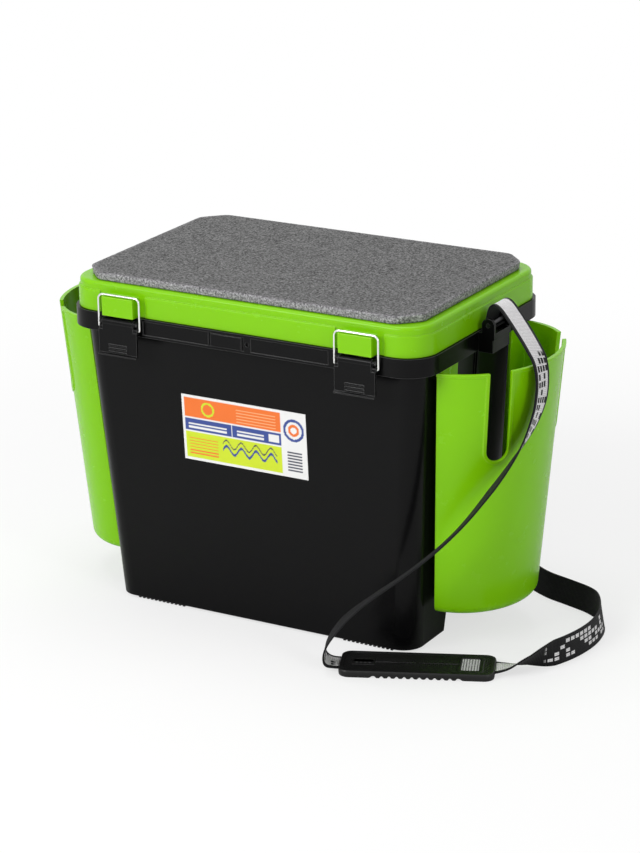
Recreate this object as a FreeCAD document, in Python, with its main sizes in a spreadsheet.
import FreeCAD, Part
import math
import os
import re
import Sketcher
from FreeCAD import Placement, Rotation, Vector

# Fishing seat box, in millimetres. A tapered black tub carries a hinged green lid that is
# also the seat, two wire latches, two hook-on side pockets and a shoulder strap.
# X runs along the box, Y to the back and Z up. The floor is z = 0 under its middle.

SIZES = {
    # Tub: outside of its foot, and how far each wall leans out up to the lip
    "tub_length": 328.4,
    "tub_width": 189.0,
    "tub_flare": 19.56,
    "tub_corner": 20.0,
    "tub_wall": 3.0,
    "tub_floor": 3.0,
    "rim_height": 299.4,
    "lip_height": 4.6,
    # Collar round the tub's mouth: a flange with a skirt that hangs from it
    "collar_reach_ends": 8.74,
    "collar_reach_sides": 12.54,
    "collar_corner": 31.5,
    "collar_depth": 17.9,
    "collar_flange": 3.0,
    "collar_skirt": 2.5,
    "panel_depth": 0.8,
    "panel_left": 103.5,
    "panel_right": 95.5,
    "panel_margin": 2.4,
    "tab_left": 29.8,
    "tab_right": 13.9,
    "tab_gap": 1.4,
    "tab_margin": 0.6,
    "tab_proud": 1.4,
    "slit_right": 5.4,
    "slit_width": 2.1,
    "slit_depth": 1.6,
    "lock_hole": 2.0,
    "lock_place": 10.1,
    "lock_level": 290.5,
    # Tunnel between the two skids, and the teeth under them
    "tunnel_width": 64.0,
    "tunnel_height": 30.0,
    "tunnel_slope": 4.0,
    "tooth_height": 2.5,
    "tooth_width": 2.3,
    "tooth_pitch": 4.6,
    "tooth_count": 12,
    "tooth_offset": 115.0,
    "tooth_margin": 2.5,
    # Upright rib on each end wall
    "rib_width": 4.0,
    "rib_depth": 2.5,
    "rib_foot": 60.0,
    # Lid
    "lid_inset_ends": 2.5,
    "lid_inset_sides": 2.6,
    "lid_corner": 30.0,
    "lid_gap": 0.3,
    "lid_height": 28.3,
    "lid_wall": 2.5,
    "lid_deck": 2.5,
    "lid_round": 3.5,
    "band_height": 20.3,
    "band_step": 1.5,
    "band_round": 1.2,
    "recess_width": 50.0,
    # Seat pad: a sheet of foam glued on the lid
    "seat_inset_ends": 10.8,
    "seat_inset_sides": 6.2,
    "seat_corner": 26.0,
    "seat_thickness": 8.1,
    "seat_round": 2.5,
    "glue_line": 0.1,
    # Latches: the lever turns on a pin in front of the collar and pulls a wire bail down
    "latch_offset": 127.0,
    "pivot_out": 4.6,
    "pivot_drop": 5.4,
    "latch_pin": 1.5,
    "run_gap": 0.05,
    "ear_radius": 2.6,
    "ear_width": 3.0,
    "side_gap": 0.4,
    "lever_knuckle": 3.5,
    "knuckle_width": 34.0,
    "lever_width": 42.0,
    "lever_thickness": 2.5,
    "lever_length": 32.2,
    "lever_neck": 7.5,
    "lever_lip": 9.8,
    "lever_set_in": 0.5,
    "lip_rise": 2.4,
    "lip_edge": 1.0,
    "lip_slope": 1.1,
    "grip_width": 20.0,
    "grip_pitch": 3.4,
    "grip_start": 0.2,
    "grip_count": 3,
    "grip_proud": 0.8,
    "crank_in": 0.7,
    "crank_drop": 6.0,
    "crank_boss": 2.9,
    "crank_width": 7.0,
    "wire_radius": 1.1,
    "bail_width": 45.0,
    "bail_height": 31.4,
    "bail_bend": 5.0,
    "bail_foot_bend": 1.4,
    "bail_foot": 7.0,
    "catch_width": 34.0,
    "catch_out": 9.5,
    "catch_slope": 4.0,
    "catch_gap": 0.3,
    # Hinges at the back
    "hinge_offset": 110.0,
    "hinge_out": 6.4,
    "hinge_radius": 5.0,
    "hinge_pin": 1.75,
    "lid_knuckle": 16.0,
    "tub_knuckle": 8.0,
    # Side pockets: half-oval cups that lean with the tub's end walls
    "pocket_top": 280.1,
    "pocket_base": 37.3,
    "pocket_gap_top": 6.1,
    "pocket_gap_base": 8.5,
    "pocket_bulge_top": 71.6,
    "pocket_bulge_base": 63.0,
    "pocket_depth_top": 184.0,
    "pocket_depth_base": 143.4,
    "pocket_wall": 2.5,
    "pocket_round": 8.0,
    "bead_height": 3.0,
    "bead_proud": 1.2,
    "slot_width": 22.0,
    "slot_foot": 193.0,
    "slot_place": 64.5,
    "slot_turn": 37.4,
    "slot_border": 3.0,
    "window_width": 110.0,
    "window_foot": 75.0,
    # Tongues of the pockets and the bosses of the tub that they hook on
    "tongue_place": 68.0,
    "tongue_width": 14.0,
    "tongue_thickness": 3.0,
    "tongue_inset": 2.0,
    "tongue_top": 292.0,
    "tongue_root": 14.0,
    "boss_width": 7.4,
    "boss_height": 4.4,
    "boss_level": 286.5,
    "boss_gap": 0.3,
    "boss_clear": 1.0,
    # Strap brackets on the ends of the collar
    "bracket_width": 34.0,
    "bracket_cheek": 3.0,
    "bracket_depth": 14.5,
    "bracket_plate": 2.6,
    "bracket_foot": 280.0,
    "bracket_shoulder": 298.5,
    "bracket_neck": 292.0,
    "bracket_gap": 0.05,
    "bar_out": 9.5,
    "bar_level": 306.0,
    "bar_radius": 2.0,
    "eye_radius": 6.5,
    "peg_radius": 2.4,
    "peg_place": 9.0,
    "peg_level": 290.5,
    # Strap
    "webbing_width": 26.0,
    "webbing_thickness": 2.0,
    "pad_length": 144.0,
    "pad_width": 48.0,
    "pad_corner": 9.0,
    "pad_thickness": 5.0,
    "pad_round": 1.5,
    "pad_x": 183.0,
    "pad_y": -120.0,
    "pad_turn": 23.25,
    "pad_rib": 2.0,
    "pad_rib_inset": 1.0,
    "pad_rib_width": 3.5,
    "pad_rib_pitch": 7.0,
    "pad_rib_count": 11,
    "pad_window_length": 17.0,
    "pad_window_width": 28.0,
    "pad_window_place": 49.0,
    # Label on the front wall
    "label_length": 135.0,
    "label_height": 66.0,
    "label_thickness": 0.3,
    "label_x": -6.7,
    "label_level": 193.0,
}

# Places worked out from the sizes. Each rule may use the places above it.
PLACES = {
    "lip_top": "rim_height + lip_height",
    "lean": "tub_flare / (lip_top - tooth_height)",
    "collar_x": "tub_length / 2 + tub_flare + collar_reach_ends",
    "collar_y": "tub_width / 2 + tub_flare + collar_reach_sides",
    "collar_base": "rim_height - collar_depth",
    "skirt_x": "collar_x - collar_skirt",
    "skirt_y": "collar_y - collar_skirt",
    "lid_x": "collar_x - lid_inset_ends",
    "lid_y": "collar_y - lid_inset_sides",
    "lid_base": "rim_height + lid_gap",
    "lid_top": "lid_base + lid_height",
    "band_top": "lid_base + band_height",
    "upper_x": "lid_x - band_step",
    "upper_y": "lid_y - band_step",
    "cavity_x": "upper_x - lid_wall",
    "cavity_y": "upper_y - lid_wall",
    "pivot_y": "-(collar_y + pivot_out)",
    "pivot_z": "rim_height - pivot_drop",
    "crank_y": "pivot_y + crank_in",
    "crank_z": "pivot_z - crank_drop",
    "bail_z": "crank_z + bail_height",
    "catch_y": "-(lid_y + catch_out)",
    "catch_z": "bail_z - wire_radius - catch_gap",
    "lever_front": "pivot_y - lever_knuckle + lever_set_in",
    "lever_foot": "pivot_z - lever_length",
    "ear_x": "knuckle_width / 2 + side_gap",
    "hinge_y": "collar_y + hinge_out",
    "hinge_z": "rim_height",
    "tub_knuckle_x": "lid_knuckle / 2 + side_gap",
    "back_top": "tub_length / 2 + lean * (pocket_top - tooth_height) + pocket_gap_top",
    "back_base": "tub_length / 2 + lean * (pocket_base - tooth_height) + pocket_gap_base",
    "boss_root": "tub_length / 2 + lean * (boss_level - tooth_height) - tub_wall / 2",
    "boss_end": "skirt_x - boss_clear",
    "bracket_x": "collar_x + bracket_gap",
    "bar_x": "collar_x + bar_out",
}

# How far a cutting shape runs past the face that it opens
PAST = 1
# Share of the shorter run that a strap's arc takes, and the turn between its sections
ARC_SHARE = 0.45
ARC_STEP = 12

doc = FreeCAD.newDocument("fishing_seat_box")
sheet = doc.addObject("Spreadsheet::Sheet", "Sizes")
for row, (word, number) in enumerate(SIZES.items(), 1):
    sheet.set(f"A{row}", word.replace("_", " "))
    sheet.set(f"B{row}", str(number))
    sheet.setAlias(f"B{row}", word)
places = doc.addObject("App::VarSet", "Places")


def sized(rule):
    """The rule with each size and place named in full, as the document knows it."""

    def full(match):
        word = match.group(0)
        if word in SIZES:
            return "Sizes." + word
        return "Places." + word if word in PLACES else word

    return re.sub(r"[a-z]\w*", full, str(rule))


for word in PLACES:
    places.addProperty("App::PropertyFloat", word, "Places")
for word, rule in PLACES.items():
    places.setExpression(word, sized(rule))
doc.recompute()


def at(word):
    """The number of a size or a place."""
    return float(sheet.get(word)) if word in SIZES else float(getattr(places, word))


def bind(item, **rules):
    """Ties properties to rules; x, y and z stand for the item's place."""
    for name, rule in rules.items():
        path = "Placement.Base." + name if name in ("x", "y", "z") else name
        item.setExpression(path, sized(rule))
    return item


TURNS = {
    "x": Rotation(Vector(0, 1, 0), 90),
    "y": Rotation(Vector(1, 0, 0), -90),
    "z": Rotation(),
}


def block(name, x, y, z):
    """A box between two places along each axis."""
    item = doc.addObject("Part::Box", name)
    spans = [f"({high}) - ({low})" for low, high in (x, y, z)]
    return bind(item, Length=spans[0], Width=spans[1], Height=spans[2], x=x[0], y=y[0], z=z[0])


def rod(name, axis, radius, length, x, y, z):
    """A round bar that starts at a place and runs along an axis."""
    item = doc.addObject("Part::Cylinder", name)
    item.Placement = Placement(Vector(), TURNS[axis])
    return bind(item, Radius=radius, Height=length, x=x, y=y, z=z)


def joined(name, parts):
    item = doc.addObject("Part::MultiFuse", name)
    item.Shapes = parts
    return item


def shared(name, parts):
    item = doc.addObject("Part::MultiCommon", name)
    item.Shapes = parts
    return item


def carved(name, base, tools):
    item = doc.addObject("Part::Cut", name)
    item.Base = base
    item.Tool = tools[0] if len(tools) == 1 else joined(name + "_tools", tools)
    return item


def mirrored(name, source, normal):
    item = doc.addObject("Part::Mirroring", name)
    item.Source = source
    item.Normal = normal
    return item


def both_ends(name, source):
    """The source and its mirror image in the middle plane of the box's length."""
    return [source, mirrored(name, source, Vector(1, 0, 0))]


def outline(body, name, role, points, level):
    """A closed sketch of straight edges through points that are given as rules."""
    sketch = body.newObject("Sketcher::SketchObject", name)
    plane = next(item for item in body.Origin.OriginFeatures if item.Role == role)
    sketch.AttachmentSupport = [(plane, "")]
    sketch.MapMode = "FlatFace"
    sketch.setExpression("AttachmentOffset.Base.z", sized(level))
    count = len(points)
    ring = [Vector(math.cos(i * math.tau / count), math.sin(i * math.tau / count), 0) for i in range(count)]
    for i in range(count):
        sketch.addGeometry(Part.LineSegment(100 * ring[i], 100 * ring[(i + 1) % count]), False)
    for i in range(count):
        sketch.addConstraint(Sketcher.Constraint("Coincident", i, 2, (i + 1) % count, 1))
    for i, point in enumerate(points):
        for kind, rule, start in zip(("DistanceX", "DistanceY"), point, ring[i]):
            index = sketch.addConstraint(Sketcher.Constraint(kind, -1, 1, i, 1, 100 * start))
            sketch.setExpression(f"Constraints[{index}]", sized(rule))
    return sketch


def plate(name, role, points, length, level="0", x="0", y="0", z="0"):
    """A straight-edged outline made solid, half of its length each side of its plane."""
    body = doc.addObject("PartDesign::Body", name)
    pad = body.newObject("PartDesign::Pad", name + "_pad")
    pad.Profile = outline(body, name + "_outline", role, points, level)
    pad.SideType = "Symmetric"
    bind(pad, Length=length)
    return bind(body, x=x, y=y, z=z)


def softened(body, name, base, radius, chosen):
    """Rounds the edges of a feature that the test picks."""
    doc.recompute()
    edges = [f"Edge{i}" for i, edge in enumerate(base.Shape.Edges, 1) if chosen(edge)]
    fillet = body.newObject("PartDesign::Fillet", name)
    fillet.Base = (base, edges)
    bind(fillet, Radius=radius)
    body.Tip = fillet
    return fillet


def is_upright(edge):
    return abs(edge.Vertexes[0].Z - edge.Vertexes[-1].Z) > 0.5


def lies_at(height):
    return lambda edge: abs(edge.BoundBox.ZMin - height) < 1e-4 and edge.BoundBox.ZLength < 1e-4


def rounded_block(name, half_x, half_y, low, high, corner, flare="0", top_round=None):
    """An upright block with round corners; flare widens its top, top_round softens its rim."""
    body = doc.addObject("PartDesign::Body", name)
    signs = ((-1, -1), (1, -1), (1, 1), (-1, 1))
    form = body.newObject("PartDesign::Pad", name + "_form")
    form.Profile = outline(body, name + "_foot", "XY_Plane",
                           [(f"{i} * ({half_x})", f"{j} * ({half_y})") for i, j in signs], low)
    height = f"({high}) - ({low})"
    bind(form, Length=height, TaperAngle=f"atan(({flare}) / ({height}))")
    form = softened(body, name + "_corners", form, corner, is_upright)
    if top_round:
        doc.recompute()
        softened(body, name + "_rim", form, top_round, lies_at(form.Shape.BoundBox.ZMax))
    return body


# Collar
def make_collar():
    """The flange and skirt round the tub's mouth, with its front panels and lock tab."""
    front = f"-collar_y - {PAST}"
    low, high = "collar_base + panel_margin", "rim_height - panel_margin"
    ring = carved("collar_ring",
                  rounded_block("collar_block", "collar_x", "collar_y", "collar_base", "rim_height",
                                "collar_corner"),
                  [rounded_block("collar_hollow", "skirt_x", "skirt_y", f"collar_base - {PAST}",
                                 "rim_height - collar_flange", "collar_corner - collar_skirt")])
    spans = {"one": ("-panel_left", "-tab_left - slit_width"), "two": ("tab_right", "panel_right")}
    cuts = [block("panel_" + name, span, (front, "-collar_y + panel_depth"), (low, high))
            for name, span in spans.items()]
    for name, middle in (("left", "-tab_left"), ("right", "slit_right")):
        cuts.append(block("slit_" + name, (f"{middle} - slit_width / 2", f"{middle} + slit_width / 2"),
                          (front, "-collar_y + slit_depth"), (low, high)))
    cuts.append(rod("lock_bore", "y", "lock_hole", f"collar_skirt + {2 * PAST}", "lock_place", front,
                    "lock_level"))
    bar = block("lock_tab", ("-tab_left + tab_gap", "slit_right - tab_gap"),
                ("-collar_y - tab_proud", "-collar_y + collar_skirt / 2"),
                (low + " + tab_margin", high + " - tab_margin"))
    return joined("collar", [carved("collar_front", ring, cuts), bar])


# Tub
def make_tooth_bank():
    """One row of teeth under a skid: a bar with grooves across it."""
    half = "(tooth_pitch * (tooth_count - 1) + tooth_width) / 2"
    near, far = "tunnel_width / 2 + tooth_margin", "tub_width / 2 - tooth_margin"
    body = doc.addObject("PartDesign::Body", "tooth_bank")
    corners = [(f"-{half}", f"-({far})"), (half, f"-({far})"), (half, f"-({near})"),
               (f"-{half}", f"-({near})")]
    bar = body.newObject("PartDesign::Pad", "tooth_bar")
    bar.Profile = outline(body, "tooth_bar_outline", "XY_Plane", corners, "0")
    bind(bar, Length="tooth_height + tub_floor / 2")
    first, second = f"-{half} + tooth_width", f"-{half} + tooth_pitch"
    groove = body.newObject("PartDesign::Pocket", "tooth_groove")
    groove.Profile = outline(
        body, "tooth_groove_outline", "XY_Plane",
        [(first, f"-({far} + {PAST})"), (second, f"-({far} + {PAST})"), (second, f"-({near} - {PAST})"),
         (first, f"-({near} - {PAST})")], "tooth_height")
    bind(groove, Length=f"tooth_height + {PAST}")
    doc.recompute()
    row = body.newObject("PartDesign::LinearPattern", "tooth_row")
    row.Originals = [groove]
    along = next(item for item in body.Origin.OriginFeatures if item.Role == "X_Axis")
    row.Direction = (along, [""])
    bind(row, Length="tooth_pitch * (tooth_count - 2)", Occurrences="tooth_count - 1")
    body.Tip = row
    bind(body, x="tooth_offset")
    banks = both_ends("tooth_bank_left", body)
    return banks + [mirrored(bank.Name + "_rear", bank, Vector(0, 1, 0)) for bank in banks]


def make_latch_ears():
    """Two ears each side of the middle that hold the latch pins in front of the collar."""
    ears = []
    bores = []
    for side in (-1, 1):
        name = f"ear_{'near' if side < 0 else 'far'}"
        start = f"latch_offset + {side} * (ear_x + ear_width / 2) - ear_width / 2"
        span = (start, f"{start} + ear_width")
        depth = ("pivot_y", "-collar_y + collar_skirt / 2")
        ears.append(block(name + "_web", span, depth, ("pivot_z - ear_radius", "pivot_z + ear_radius")))
        ears.append(rod(name + "_end", "x", "ear_radius", "ear_width", start, "pivot_y", "pivot_z"))
        bores.append(rod(name + "_bore", "x", "latch_pin + run_gap", f"ear_width + {2 * PAST}",
                         f"{start} - {PAST}", "pivot_y", "pivot_z"))
    return both_ends("latch_ears_left", carved("latch_ears", joined("latch_ear_forms", ears), bores))


def make_tub_knuckles():
    """Two hinge knuckles of the tub, one each side of the lid's knuckle."""
    forms = []
    for side in (-1, 1):
        name = f"tub_knuckle_{'near' if side < 0 else 'far'}"
        start = f"hinge_offset + {side} * (tub_knuckle_x + tub_knuckle / 2) - tub_knuckle / 2"
        forms.append(rod(name, "x", "hinge_radius", "tub_knuckle", start, "hinge_y", "hinge_z"))
        forms.append(block(name + "_web", (start, f"{start} + tub_knuckle"),
                           ("collar_y - collar_skirt / 2", "hinge_y"), ("hinge_z - hinge_radius", "hinge_z")))
    bore = rod("tub_hinge_bore", "x", "hinge_pin + run_gap", f"2 * (tub_knuckle_x + tub_knuckle + {PAST})",
               f"hinge_offset - tub_knuckle_x - tub_knuckle - {PAST}", "hinge_y", "hinge_z")
    return both_ends("tub_knuckles_left", carved("tub_knuckles", joined("tub_knuckle_forms", forms), [bore]))


def make_pocket_bosses():
    """Bosses of the end walls that the pockets' tongues hook on."""
    boss = block("boss", ("boss_root", "boss_end"),
                 ("tongue_place - boss_width / 2", "tongue_place + boss_width / 2"),
                 ("boss_level - boss_height / 2", "boss_level + boss_height / 2"))
    rear = both_ends("boss_left", boss)
    return rear + [mirrored(item.Name + "_front", item, Vector(0, 1, 0)) for item in rear]


def make_tub():
    """The tub with its collar, lip, skids, tunnel, hinge knuckles, ears and bosses."""
    half_x, half_y = "tub_length / 2", "tub_width / 2"
    outside = rounded_block("tub_outside", half_x, half_y, "tooth_height", "lip_top", "tub_corner",
                            "tub_flare")
    floor = "tooth_height + tub_floor"
    inset = "tub_wall - lean * tub_floor"
    inside = rounded_block("tub_inside", f"{half_x} - ({inset})", f"{half_y} - ({inset})", floor,
                           f"lip_top + {PAST}", "tub_corner - tub_wall",
                           f"lean * (lip_top + {PAST} - tooth_height - tub_floor)")
    envelope = rounded_block("rib_envelope", f"{half_x} + rib_depth", f"{half_y} + rib_depth",
                             "tooth_height", "lip_top", "tub_corner + rib_depth", "tub_flare")
    rib_band = block("rib_band", ("-collar_x", "collar_x"), ("-rib_width / 2", "rib_width / 2"),
                     ("rib_foot", "rim_height - collar_flange / 2"))
    shell = carved("tub_shell",
                   joined("tub_forms", [outside, make_collar(), shared("end_ribs", [envelope, rib_band])]
                          + make_latch_ears() + make_tub_knuckles() + make_pocket_bosses()),
                   [inside])
    edge = "tunnel_width / 2"
    brow = f"{edge} - tunnel_slope"
    length = "2 * (tub_length + tub_flare)"
    tunnel = plate("tunnel", "YZ_Plane",
                   [(f"-({edge})", f"-{PAST}"), (edge, f"-{PAST}"), (edge, "0"), (brow, "tunnel_height"),
                    (f"-({brow})", "tunnel_height"), (f"-({edge})", "0")], length)
    hump = plate("tunnel_roof", "YZ_Plane",
                 [(f"-({edge} + tub_wall)", "tooth_height"), (f"{edge} + tub_wall", "tooth_height"),
                  (f"{brow} + tub_wall", "tunnel_height + tub_wall"),
                  (f"-({brow} + tub_wall)", "tunnel_height + tub_wall")], length)
    hump = shared("tunnel_hump", [outside, hump])
    pegs = [rod("peg_bore_" + name, "x", "peg_radius + run_gap", f"collar_skirt + {2 * PAST}",
                f"skirt_x - {PAST}", place, "peg_level")
            for name, place in (("one", "-peg_place"), ("two", "peg_place"))]
    pegs = both_ends("peg_bores_left", joined("peg_bores", pegs))
    return carved("tub", joined("tub_whole", [shell, hump] + make_tooth_bank()), [tunnel] + pegs)


# Lid and seat
def make_lid():
    """The lid: an outer band, a smaller upper part, two catch blocks and two hinge knuckles."""
    band = rounded_block("lid_band", "lid_x", "lid_y", "lid_base", "band_top", "lid_corner",
                         top_round="band_round")
    upper = rounded_block("lid_upper", "upper_x", "upper_y", "lid_base", "lid_top",
                          "lid_corner - band_step", top_round="lid_round")
    cavity = rounded_block("lid_cavity", "cavity_x", "cavity_y", f"lid_base - {PAST}",
                           "lid_top - lid_deck", "lid_corner - band_step - lid_wall")
    recess = block("latch_recess", ("latch_offset - recess_width / 2", "latch_offset + recess_width / 2"),
                   (f"-lid_y - {PAST}", "-upper_y"), (f"lid_base - {PAST}", f"band_top + {PAST}"))
    shell = carved("lid_shell", joined("lid_forms", [carved("lid_band_cut", band, both_ends(
        "latch_recess_left", recess)), upper]), [cavity])
    back = "-upper_y + lid_wall / 2"
    rise = "tan(catch_slope * 1 deg)"
    catch = plate("catch_block", "YZ_Plane",
                  [("catch_y", "lid_base"), (back, "lid_base"),
                   (back, f"catch_z + ({back} - crank_y) * {rise}"),
                   ("catch_y", f"catch_z - (crank_y - catch_y) * {rise}")], "catch_width", x="latch_offset")
    start = "hinge_offset - lid_knuckle / 2"
    knuckle = joined("lid_knuckle_form", [
        rod("lid_knuckle", "x", "hinge_radius", "lid_knuckle", start, "hinge_y", "hinge_z"),
        block("lid_knuckle_web", (start, f"{start} + lid_knuckle"), ("lid_y - lid_wall / 2", "hinge_y"),
              ("lid_base", "hinge_z + hinge_radius"))])
    bore = rod("lid_hinge_bore", "x", "hinge_pin + run_gap", f"lid_knuckle + {2 * PAST}",
               f"{start} - {PAST}", "hinge_y", "hinge_z")
    knuckle = carved("lid_knuckle_bored", knuckle, [bore])
    return joined("lid", [shell] + both_ends("catch_block_left", catch)
                  + both_ends("lid_knuckle_left", knuckle))


def make_seat():
    """The foam sheet on the lid, softened round its top edge."""
    low = "lid_top + glue_line"
    return rounded_block("seat_pad", "lid_x - seat_inset_ends", "lid_y - seat_inset_sides", low,
                         f"{low} + seat_thickness", "seat_corner", top_round="seat_round")


# Latches
def make_lever():
    """The lever: a plate with a finger lip and grip ribs, its knuckle and two crank bosses."""
    back = "lever_front + lever_thickness"
    waist = "pivot_z - lever_neck"
    lip = "-(collar_y + lever_lip)"
    wide = plate("lever_plate", "YZ_Plane",
                 [("lever_front", waist), ("lever_front", "lever_foot + lip_rise"),
                  (lip, "lever_foot + lip_edge"), (lip, "lever_foot"), (f"{lip} + lip_edge", "lever_foot"),
                  (back, "lever_foot + lip_rise - lip_slope"), (back, waist)], "lever_width",
                 x="latch_offset")
    neck = block("lever_neck_form", ("latch_offset - knuckle_width / 2", "latch_offset + knuckle_width / 2"),
                 ("lever_front", back), (f"{waist} - {PAST}", "pivot_z"))
    knuckle = rod("lever_knuckle_form", "x", "lever_knuckle", "knuckle_width",
                  "latch_offset - knuckle_width / 2", "pivot_y", "pivot_z")
    forms = [wide, neck, knuckle]
    for side, name in ((-1, "near"), (1, "far")):
        start = f"latch_offset + {side} * (lever_width - crank_width) / 2 - crank_width / 2"
        forms.append(rod(f"crank_{name}", "x", "crank_boss", "crank_width", start, "crank_y", "crank_z"))
    for i in range(int(at("grip_count"))):
        level = f"lever_foot + lip_rise + grip_start + {i} * grip_pitch"
        forms.append(block(f"grip_{i}", ("latch_offset - grip_width / 2", "latch_offset + grip_width / 2"),
                           ("lever_front - grip_proud", "lever_front + lever_thickness / 2"),
                           (level, f"{level} + grip_pitch / 2")))
    bores = [
        rod("lever_pin_bore", "x", "latch_pin + run_gap", f"knuckle_width + {2 * PAST}",
            f"latch_offset - knuckle_width / 2 - {PAST}", "pivot_y", "pivot_z"),
        rod("lever_crank_bore", "x", "wire_radius + run_gap", f"lever_width + {2 * PAST}",
            f"latch_offset - lever_width / 2 - {PAST}", "crank_y", "crank_z")]
    return carved("latch_lever_right", joined("lever_forms", forms), bores)


def bend(name, radius, start_angle, x, z):
    """A quarter of a ring of wire in an upright plane."""
    item = doc.addObject("Part::Torus", name)
    turn = Rotation(Vector(1, 0, 0), 90).multiply(Rotation(Vector(0, 0, 1), start_angle))
    item.Placement = Placement(Vector(), turn)
    return bind(item, Radius1=radius, Radius2="wire_radius", Angle3="90", x=x, y="crank_y", z=z)


def make_bail():
    """The wire bail: a top bar, two arms and two feet that turn in the lever."""
    wires = [rod("bail_bar", "x", "wire_radius", "bail_width - 2 * bail_bend",
                 "latch_offset - bail_width / 2 + bail_bend", "crank_y", "bail_z")]
    for side, name in ((-1, "near"), (1, "far")):
        arm = f"latch_offset + {side} * bail_width / 2"
        foot = f"{arm} - {side} * (bail_foot_bend + bail_foot) / 2 - (bail_foot - bail_foot_bend) / 2"
        wires.append(rod(f"bail_arm_{name}", "z", "wire_radius",
                         "bail_height - bail_bend - bail_foot_bend", arm, "crank_y",
                         "crank_z + bail_foot_bend"))
        wires.append(rod(f"bail_foot_{name}", "x", "wire_radius", "bail_foot - bail_foot_bend", foot,
                         "crank_y", "crank_z"))
        wires.append(bend(f"bail_top_{name}", "bail_bend", 0 if side > 0 else 90,
                          f"{arm} - {side} * bail_bend", "bail_z - bail_bend"))
        wires.append(bend(f"bail_low_{name}", "bail_foot_bend", 270 if side > 0 else 180,
                          f"{arm} - {side} * bail_foot_bend", "crank_z + bail_foot_bend"))
    return joined("latch_bail_right", wires)


# Side pockets
def oval(bulge, half_depth, x, z):
    """A level oval ring, bulge along X and half_depth along Y, round a point."""
    ring = Part.Ellipse(Vector(), max(bulge, half_depth), min(bulge, half_depth)).toShape()
    ring.Placement = Placement(Vector(x, 0, z), Rotation(Vector(0, 0, 1), 90 if half_depth > bulge else 0))
    return Part.Wire([ring])


def pocket_cup(grown, low, high, round_base):
    """The full oval cone of a pocket, grown outwards or, below zero, inwards."""
    top, base = at("pocket_top"), at("pocket_base")

    def ring(z):
        up = (z - base) / (top - base)
        bulge = at("pocket_bulge_base") + (at("pocket_bulge_top") - at("pocket_bulge_base")) * up
        depth = at("pocket_depth_base") + (at("pocket_depth_top") - at("pocket_depth_base")) * up
        back = at("back_base") + (at("back_top") - at("back_base")) * up
        return oval(bulge + grown, depth / 2 + grown, back, z)

    cup = Part.makeLoft([ring(low), ring(high)], True, True)
    rims = [edge for edge in cup.Edges if edge.BoundBox.ZLength < 1e-4 and edge.BoundBox.ZMin < low + 1e-4]
    return cup.makeFillet(round_base, rims) if round_base > 0 else cup


def behind_plane(offset, low, high, half_width, reach):
    """A prism that starts at the pocket's leaning back plane and reaches outwards."""
    top, base = at("pocket_top"), at("pocket_base")
    tilt = (at("back_top") - at("back_base")) / (top - base)
    near = [at("back_base") + offset + tilt * (z - base) for z in (low, high)]
    points = [Vector(near[0], 0, low), Vector(near[0] + reach, 0, low), Vector(near[1] + reach, 0, high),
              Vector(near[1], 0, high)]
    face = Part.Face(Part.makePolygon(points + points[:1]))
    face.translate(Vector(0, -half_width, 0))
    return face.extrude(Vector(0, 2 * half_width, 0))


def slot_prism(side, grown):
    """A U-shaped prism square to the pocket's side, open at the top."""
    inward, outward = 32.0, 20.0
    half = at("slot_width") / 2 + grown
    level = at("slot_foot") + at("slot_width") / 2
    half_depth = at("pocket_depth_top") / 2
    place = min(at("slot_place"), 0.95 * half_depth)
    x = at("back_top") + at("pocket_bulge_top") * math.sqrt(1 - (place / half_depth) ** 2)
    rise = at("pocket_top") + outward - level
    form = Part.makeBox(inward + outward, 2 * half, rise, Vector(-inward, -half, 0))
    form = form.fuse(Part.makeCylinder(half, inward + outward, Vector(-inward, 0, 0), Vector(1, 0, 0)))
    form.Placement = Placement(Vector(x, side * place, level),
                               Rotation(Vector(0, 0, 1), side * at("slot_turn")))
    return form


def make_pocket():
    """A half-oval cup: bead and slot borders outside, a window and two tongues at its back."""
    top, base, wall = at("pocket_top"), at("pocket_base"), at("pocket_wall")
    rim, reach = top - at("bead_height"), at("pocket_depth_top")
    outside = pocket_cup(0, base, top, at("pocket_round"))
    proud_cup = pocket_cup(at("bead_proud"), base, top, 0)
    bead = proud_cup.common(behind_plane(-reach, rim, top, reach, 2 * reach))
    borders = [proud_cup.common(slot_prism(side, at("slot_border"))) for side in (-1, 1)]
    cup = outside.fuse([bead] + borders)
    cup = cup.common(behind_plane(0, base - PAST, top + PAST, reach, reach))
    inside = pocket_cup(-wall, base + wall, top + PAST, at("pocket_round") - wall)
    cup = cup.cut(inside.common(behind_plane(wall, base, top + PAST, reach, reach)))
    cup = cup.cut([slot_prism(-1, 0), slot_prism(1, 0),
                   behind_plane(-PAST, at("window_foot"), top + PAST, at("window_width") / 2,
                                wall + 2 * PAST)])
    tongue_x = at("back_top") - at("tongue_inset")
    gap = at("boss_gap")
    for side in (-1, 1):
        middle = side * at("tongue_place")
        foot = top - at("tongue_root")
        tongue = Part.makeBox(at("tongue_thickness"), at("tongue_width"), at("tongue_top") - foot,
                              Vector(tongue_x, middle - at("tongue_width") / 2, foot))
        eye = Part.makeBox(at("tongue_thickness") + 2 * PAST, at("boss_width") + 2 * gap,
                           at("boss_height") + 2 * gap,
                           Vector(tongue_x - PAST, middle - at("boss_width") / 2 - gap,
                                  at("boss_level") - at("boss_height") / 2 - gap))
        cup = cup.fuse(tongue).cut(eye)
    item = doc.addObject("Part::Feature", "pocket_right")
    item.Shape = cup.removeSplitter()
    return item


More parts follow.
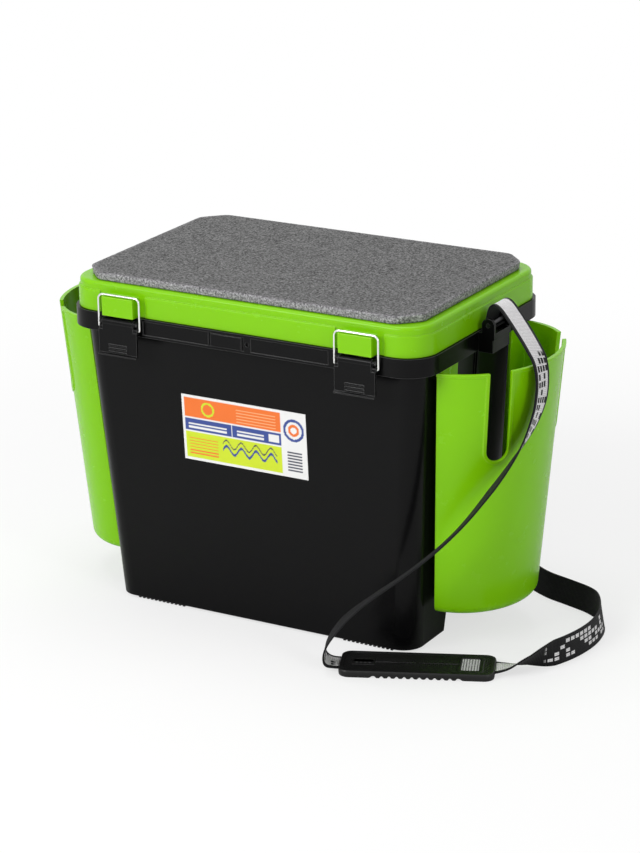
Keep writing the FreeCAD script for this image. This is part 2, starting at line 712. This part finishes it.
# Strap
def make_bracket():
    """The strap bracket: a back plate, an outer plate and two cheeks with an eye each."""
    half = "bracket_width / 2"
    span = (f"-{half}", half)
    body = block("bracket_block", ("bracket_x", "bracket_x + bracket_depth"), span,
                 ("bracket_foot", "bracket_shoulder"))
    neck = block("bracket_neck", ("bar_x - eye_radius", "bar_x + eye_radius"), span,
                 ("bracket_neck", "bar_level"))
    eye = rod("bracket_eye", "y", "eye_radius", "bracket_width", "bar_x", f"-{half}", "bar_level")
    pegs = [rod(f"bracket_peg_{i}", "x", "peg_radius", "collar_skirt + 1", "collar_x - collar_skirt",
                f"{side} * peg_place", "peg_level") for i, side in enumerate((-1, 1))]
    gap = (f"-{half} + bracket_cheek", f"{half} - bracket_cheek")
    slot = block("bracket_slot", ("bracket_x + bracket_plate", "bracket_x + bracket_depth - bracket_plate"),
                 gap, (f"bracket_foot - {PAST}", f"bracket_shoulder + {PAST}"))
    mouth = block("bracket_mouth", (f"bracket_x - {PAST}", "bracket_x + bracket_depth + eye_radius"), gap,
                  ("bracket_shoulder", f"bar_level + eye_radius + {PAST}"))
    bore = rod("bracket_bore", "y", "bar_radius + run_gap", f"bracket_width + {2 * PAST}", "bar_x",
               f"-{half} - {PAST}", "bar_level")
    return carved("strap_bracket_right", joined("bracket_forms", [body, neck, eye] + pegs),
                  [slot, mouth, bore])


def make_shoulder_pad():
    """The rubber pad on the strap, lying on its ribs, with a window near one end."""
    top = "pad_rib + pad_thickness"
    slab = rounded_block("pad_slab", "pad_length / 2", "pad_width / 2", "pad_rib", top, "pad_corner",
                         top_round="pad_round")
    ribs = []
    for i in range(int(at("pad_rib_count"))):
        middle = f"({i} - (pad_rib_count - 1) / 2) * pad_rib_pitch"
        ribs.append(block(f"pad_rib_{i}", (f"{middle} - pad_rib_width / 2", f"{middle} + pad_rib_width / 2"),
                          ("-pad_width / 2 + pad_rib_inset", "pad_width / 2 - pad_rib_inset"),
                          ("0", "pad_rib + pad_thickness / 2")))
    window = block("pad_window",
                   ("pad_window_place - pad_window_length / 2", "pad_window_place + pad_window_length / 2"),
                   ("-pad_window_width / 2", "pad_window_width / 2"),
                   (f"{top} - pad_round", f"{top} + {PAST}"))
    item = carved("shoulder_pad", joined("pad_forms", [slab] + ribs), [window])
    item.Placement = Placement(Vector(), Rotation(Vector(0, 0, 1), at("pad_turn")))
    return bind(item, x="pad_x", y="pad_y")


def pad_end(side, out=0.0):
    """A point on the strap's line at an end of the pad, or further out."""
    angle = math.radians(at("pad_turn"))
    reach = side * (at("pad_length") / 2 + out)
    level = at("pad_rib") + at("pad_thickness") / 2
    return Vector(at("pad_x") + reach * math.cos(angle), at("pad_y") + reach * math.sin(angle), level)


def rounded_route(points):
    """Stations along straight runs and tangent arcs: place, direction and share of the route."""
    stations = [(points[0], (points[1] - points[0]).normalize(), 0.0)]
    radii = []
    for i in range(1, len(points) - 1):
        before, here, after = points[i - 1], points[i], points[i + 1]
        come = here - before
        leave = after - here
        cut = ARC_SHARE * min(come.Length, leave.Length)
        come.normalize()
        leave.normalize()
        turn = come.getAngle(leave)
        radius = cut / math.tan(turn / 2)
        radii.append(radius)
        inward = (leave - come).normalize()
        centre = here + inward * (radius / math.cos(turn / 2))
        steps = max(2, round(math.degrees(turn) / ARC_STEP))
        for k in range(steps + 1):
            angle = turn * (k / steps - 0.5)
            spoke = inward * -math.cos(angle) + (come + leave).normalize() * math.sin(angle)
            along = (come + leave).normalize() * math.cos(angle) + inward * math.sin(angle)
            stations.append((centre + spoke * radius, along, i + ARC_SHARE * (2 * k / steps - 1)))
    stations.append((points[-1], (points[-1] - points[-2]).normalize(), float(len(points) - 1)))
    return stations, radii


def make_webbing(name, route):
    """A flat band along a route; each point of it gives a place and the way the width lies."""
    points = [Vector(*place) for place, across in route]
    spans = [Vector(*across) for place, across in route]
    half, thin = at("webbing_width") / 2, at("webbing_thickness") / 2
    stations, radii = rounded_route(points)
    wires = []
    length = 0.0
    previous = points[0]
    for place, along, share in stations:
        i = min(int(share), len(spans) - 2)
        across = spans[i] + (spans[i + 1] - spans[i]) * (share - i)
        across = (across - along * across.dot(along)).normalize()
        up = along.cross(across)
        ring = [place + across * (a * half) + up * (b * thin)
                for a, b in ((-1, -1), (1, -1), (1, 1), (-1, 1))]
        wires.append(Part.makePolygon(ring + ring[:1]))
        length += place.distanceToPoint(previous)
        previous = place
    solid = Part.makeLoft(wires, True, True)
    item = doc.addObject("Part::Feature", name)
    item.Shape = solid
    section = at("webbing_width") * at("webbing_thickness")
    print(name, "length", round(length, 1), "volume over section", round(solid.Volume / section, 1),
          "radii", [round(radius, 1) for radius in radii])
    return item


def strap_routes():
    """Route points of the strap's two stretches, each with the way its width lies."""
    along_y, on_edge, edge_back = (0, 1, 0), (0.1, 0.2, -0.97), (0.05, -0.2, -0.97)
    angle = math.radians(at("pad_turn"))
    across_pad = (-math.sin(angle), math.cos(angle), 0)
    bar_x, bar_z = at("bar_x"), at("bar_level")
    front = [
        ((bar_x + 2.0, 0, bar_z - 3.8), along_y),
        ((bar_x - 4.4, 0, bar_z - 4.0), along_y),
        ((bar_x - 3.6, -0.2, bar_z + 8.0), along_y),
        ((bar_x + 0.5, -1.0, bar_z + 18.5), along_y),
        ((bar_x + 10.0, -3.5, bar_z + 20.0), along_y),
        ((bar_x + 27.0, -12.0, bar_z + 7.5), along_y),
        ((bar_x + 46.0, -22.0, bar_z - 8.5), along_y),
        ((bar_x + 60.8, -28.5, bar_z - 25.0), along_y),
        ((bar_x + 62.3, -30.5, bar_z - 55.0), along_y),
        ((bar_x + 58.0, -40.3, bar_z - 80.0), (-0.1, 0.99, 0)),
        ((bar_x + 50.5, -60.0, bar_z - 105.0), (-0.3, 0.95, 0)),
        ((bar_x + 39.0, -84.0, bar_z - 131.0), (-0.46, 0.89, 0)),
        ((bar_x + 17.2, -115.0, bar_z - 168.6), (-0.46, 0.89, 0)),
        ((bar_x - 15.7, -140.0, bar_z - 201.9), (-0.46, 0.89, 0)),
        ((bar_x - 55.0, -155.0, bar_z - 233.5), (-0.46, 0.89, 0)),
        ((bar_x - 79.0, -160.5, bar_z - 258.0), (-0.43, 0.9, 0)),
        ((bar_x - 95.0, -160.5, bar_z - 283.0), across_pad),
        ((pad_end(-1, 13.0).x, pad_end(-1, 13.0).y, 4.0), across_pad),
        (tuple(pad_end(-1)), across_pad),
    ]
    rear = [
        (tuple(pad_end(1)), across_pad),
        (tuple(pad_end(1, 12.0) + Vector(0, 0, 0.8)), (-0.3, 0.9, -0.15)),
        ((274.0, -76.0, 11.2), (-0.3, 0.75, -0.6)),
        ((292.0, -55.0, 14.0), on_edge),
        ((301.0, -22.0, 13.7), on_edge),
        ((303.0, 12.0, 13.7), on_edge),
        ((295.0, 46.0, 13.7), on_edge),
        ((274.0, 74.0, 13.7), edge_back),
        ((240.0, 86.0, 13.7), edge_back),
        ((208.0, 95.0, 13.8), edge_back),
        ((172.0, 122.0, 13.8), (0.3, -0.5, -0.8)),
        ((125.0, 148.0, 9.4), (0.2, -0.9, -0.3)),
        ((62.0, 160.0, 1.7), (0, -1, 0)),
        ((-60.0, 163.0, 1.5), (0, -1, 0)),
        ((-150.0, 156.0, 1.9), (0.3, -1, 0)),
        ((-198.0, 140.0, 12.0), (0.75, -0.66, 0)),
        ((-228.0, 116.0, 52.0), (0.6, -0.8, 0)),
        ((-246.0, 92.0, 106.0), (0.4, -0.92, 0)),
        ((-258.0, 70.0, 170.0), (0.2, -0.98, 0)),
        ((-264.0, 53.0, 225.0), (0, -1, 0)),
        ((-263.0, 45.0, 268.0), (0, -1, 0)),
        ((-256.0, 40.0, 285.5), (0, -1, 0)),
        ((-236.0, 24.0, 294.5), (0, -1, 0)),
        ((-bar_x - 14.0, 5.0, bar_z + 1.8), (0, -1, 0)),
        ((-bar_x - 1.0, 0.4, bar_z + 7.8), (0, -1, 0)),
        ((-bar_x + 4.4, 0, bar_z + 2.0), (0, -1, 0)),
        ((-bar_x + 3.6, 0, bar_z - 4.2), (0, -1, 0)),
        ((-bar_x - 2.0, 0, bar_z - 4.0), (0, -1, 0)),
    ]
    return front, rear


def make_label():
    """The label, a thin sheet that leans with the tub's front wall."""
    tilt = math.degrees(math.atan(at("lean")))
    wall = at("tub_width") / 2 + at("lean") * (at("label_level") - at("tooth_height"))
    item = doc.addObject("Part::Box", "front_label")
    turn = Rotation(Vector(1, 0, 0), tilt)
    corner = turn.multVec(Vector(-at("label_length") / 2, -at("label_thickness"), -at("label_height") / 2))
    item.Placement = Placement(Vector(at("label_x"), -wall - at("run_gap"), at("label_level")) + corner, turn)
    return bind(item, Length="label_length", Width="label_thickness", Height="label_height")


def make_parts():
    """Every sub-part, by the name of its node."""
    parts = {"tub": make_tub(), "lid": make_lid(), "seat_pad": make_seat(), "front_label": make_label()}
    parts["shoulder_pad"] = make_shoulder_pad()
    rights = {
        "latch_lever": make_lever(),
        "latch_bail": make_bail(),
        "latch_pin": rod("latch_pin_right", "x", "latch_pin", "2 * (ear_x + ear_width)",
                         "latch_offset - ear_x - ear_width", "pivot_y", "pivot_z"),
        "hinge_pin": rod("hinge_pin_right", "x", "hinge_pin", "2 * (tub_knuckle_x + tub_knuckle)",
                         "hinge_offset - tub_knuckle_x - tub_knuckle", "hinge_y", "hinge_z"),
        "pocket": make_pocket(),
        "strap_bracket": make_bracket(),
        "strap_bar": rod("strap_bar_right", "y", "bar_radius", "bracket_width", "bar_x", "-bracket_width / 2",
                         "bar_level"),
    }
    for name, right in rights.items():
        parts[name + "_right"] = right
        parts[name + "_left"] = mirrored(name + "_left", right, Vector(1, 0, 0))
    front, rear = strap_routes()
    parts["strap_webbing_front"] = make_webbing("strap_webbing_front", front)
    parts["strap_webbing_rear"] = make_webbing("strap_webbing_rear", rear)
    return parts


def write_parts(parts):
    """Checks the whole document and each sub-part, then writes one STEP file per node."""
    doc.recompute()
    failed = [item.Name for item in doc.Objects if {"Invalid", "Error"} & set(item.State)]
    if failed:
        raise RuntimeError("these objects failed: " + ", ".join(failed))
    for name, item in parts.items():
        item.Label = name
        shape = item.Shape
        if shape.isNull() or not shape.isValid() or not shape.Solids:
            raise RuntimeError(name + " has no valid solid")
        print(name, "solids", len(shape.Solids), "volume", round(shape.Volume, 1))
    os.makedirs("parts", exist_ok=True)
    for name, item in parts.items():
        item.Shape.exportStep(f"parts/{name}.step")


write_parts(make_parts())
